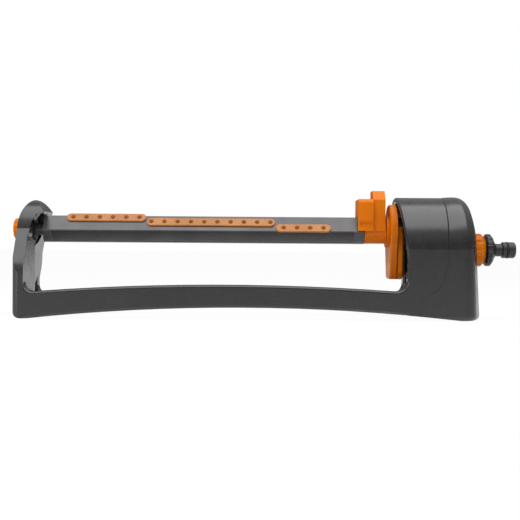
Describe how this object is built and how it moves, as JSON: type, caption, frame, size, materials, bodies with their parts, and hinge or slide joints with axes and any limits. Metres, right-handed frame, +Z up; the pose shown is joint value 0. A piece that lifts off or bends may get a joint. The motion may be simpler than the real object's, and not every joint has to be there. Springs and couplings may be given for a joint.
{
  "type": "oscillating sprinkler",
  "caption": "Oscillating lawn sprinkler: a swinging spray tube on a moulded frame, with a zone selector, two sweep stops, a water turbine gear train and a push-on hose spigot.",
  "frame": {"origin": "on the ground under the middle of the part", "axes": "+X along the spray tube towards the hose, +Z up, -Y the side that the nozzle deck faces at rest"},
  "size_m": [0.4993, 0.1046, 0.126],
  "materials": {
    "frame_plastic": "fine-grained black polypropylene",
    "tube_finish": "black anodised aluminium, satin",
    "cap_plastic": "satin black plastic",
    "orange_plastic": "satin orange plastic",
    "nozzle_plastic": "satin light orange plastic",
    "jet_rubber": "soft dark orange rubber",
    "inner_plastic": "plain dark plastic",
    "gear_plastic": "natural acetal",
    "seal_rubber": "black rubber",
    "steel": "stainless steel",
    "hose_plastic": "satin black plastic"
  },
  "bodies": {
    "base": {"frame": "frame_plastic", "bottom_cover": "inner_plastic", "bottom_screws": "steel", "left_bush": "inner_plastic", "gear_case": "inner_plastic", "gear_lid": "inner_plastic", "lid_screws": "steel", "divider_plate": "gear_plastic", "jet_plate": "gear_plastic", "upper_pin": "steel", "lower_pin": "steel", "inlet_stub": "inner_plastic", "inlet_oring": "seal_rubber", "inlet_filter": "gear_plastic", "inlet_nut": "orange_plastic", "inlet_gasket": "seal_rubber", "spigot_washer": "seal_rubber", "shaft_seal": "seal_rubber", "stop_washers": "inner_plastic", "stop_clip": "orange_plastic"},
    "spray_tube": {"tube": "tube_finish", "left_cap": "cap_plastic", "right_cap": "cap_plastic", "nozzle_strip_a": "nozzle_plastic", "nozzle_strip_b": "nozzle_plastic", "nozzle_strip_c": "nozzle_plastic", "nozzle_jets_a": "jet_rubber", "nozzle_jets_b": "jet_rubber", "nozzle_jets_c": "jet_rubber", "selector_orings": "seal_rubber", "output_shaft": "gear_plastic", "output_gear": "gear_plastic"},
    "cleaning_pin": {"cleaning_knob": "orange_plastic", "knob_oring": "seal_rubber", "cleaning_needle": "steel"},
    "selector": {"zone_selector": "orange_plastic"},
    "front_stop": {"range_stop_front": "orange_plastic"},
    "rear_stop": {"range_stop_rear": "orange_plastic"},
    "trip": {"trip_lever": "inner_plastic", "jet_diverter": "gear_plastic"},
    "gear_b": {"gear_b": "gear_plastic"},
    "gear_a": {"gear_a": "gear_plastic"},
    "turbine": {"turbine_wheel": "gear_plastic"},
    "spigot": {"hose_spigot": "hose_plastic", "spigot_oring": "seal_rubber"}
  },
  "joints": [
    {"name": "tube_swing", "type": "hinge", "parent": "base", "child": "spray_tube", "pos_m": [0, 0, 0.086], "axis": [1, 0, 0], "range_deg": [-110, 0]},
    {"name": "selector_turn", "type": "hinge", "parent": "spray_tube", "child": "selector", "pos_m": [0.11, 0, 0.086], "axis": [1, 0, 0], "range_deg": [-30, 60]},
    {"name": "cleaning_pull", "type": "slide", "parent": "spray_tube", "child": "cleaning_pin", "axis": [-1, 0, 0], "range_m": [0, 0.03]},
    {"name": "front_stop_turn", "type": "hinge", "parent": "base", "child": "front_stop", "pos_m": [0.127, 0, 0.086], "axis": [1, 0, 0], "range_deg": [-30, 30]},
    {"name": "rear_stop_turn", "type": "hinge", "parent": "base", "child": "rear_stop", "pos_m": [0.134, 0, 0.086], "axis": [1, 0, 0], "range_deg": [-30, 30]},
    {"name": "trip_rock", "type": "hinge", "parent": "base", "child": "trip", "pos_m": [0.145, 0, 0.046], "axis": [1, 0, 0], "range_deg": [-14, 14]},
    {"name": "gear_b_spin", "type": "hinge", "parent": "base", "child": "gear_b", "pos_m": [0.16, 0, 0.068], "axis": [1, 0, 0], "range_deg": [-5, 335]},
    {"name": "gear_a_spin", "type": "hinge", "parent": "base", "child": "gear_a", "pos_m": [0.166, 0, 0.086], "axis": [1, 0, 0], "range_deg": [-995, 5]},
    {"name": "turbine_spin", "type": "hinge", "parent": "base", "child": "turbine", "pos_m": [0.18, 0, 0.068], "axis": [1, 0, 0], "range_deg": [-5, 2975]},
    {"name": "spigot_swivel", "type": "hinge", "parent": "base", "child": "spigot", "pos_m": [0.225, 0, 0.068], "axis": [1, 0, 0], "continuous": true}
  ],
  "couplings": [
    {"joint": "gear_b_spin", "follows": "tube_swing", "ratio": -3},
    {"joint": "gear_a_spin", "follows": "tube_swing", "ratio": 9},
    {"joint": "turbine_spin", "follows": "tube_swing", "ratio": -27}
  ]
}
